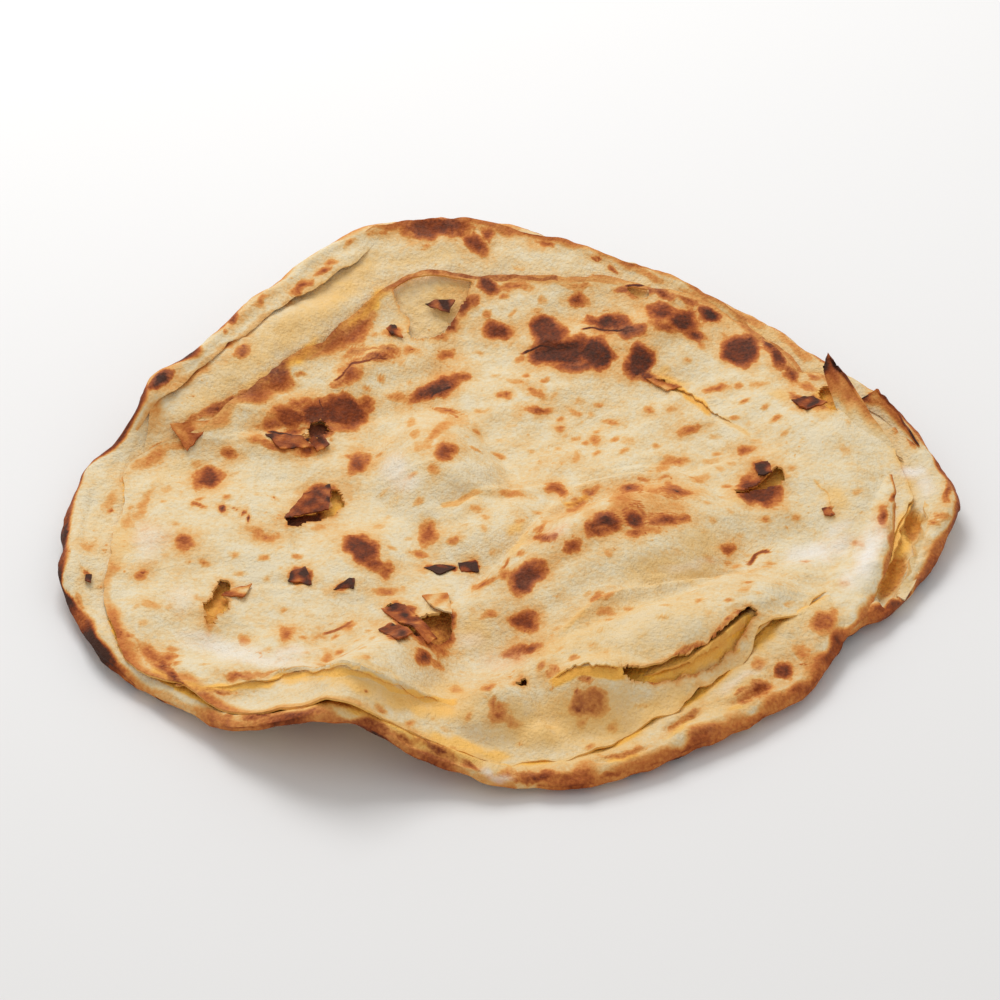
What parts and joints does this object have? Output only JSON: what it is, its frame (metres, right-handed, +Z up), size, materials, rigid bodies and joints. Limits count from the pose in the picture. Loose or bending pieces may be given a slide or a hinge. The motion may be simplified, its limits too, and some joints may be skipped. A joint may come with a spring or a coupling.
{
  "type": "lachha paratha",
  "caption": "Round layered flatbread with a browned, blistered top skin, torn flakes, a folded rim and a flat middle underneath.",
  "frame": {"origin": "centre of the bounding box, on the plane the bread rests on", "axes": "+Z up out of the top skin, +X along the bread's longest width, towards the corner where the rim is folded over"},
  "size_m": [0.2533, 0.2344, 0.0289],
  "materials": {
    "baked_dough": "matte baked dough, pale gold with brown blisters"
  },
  "bodies": {
    "root": {"paratha": "baked_dough"}
  },
  "joints": []
}
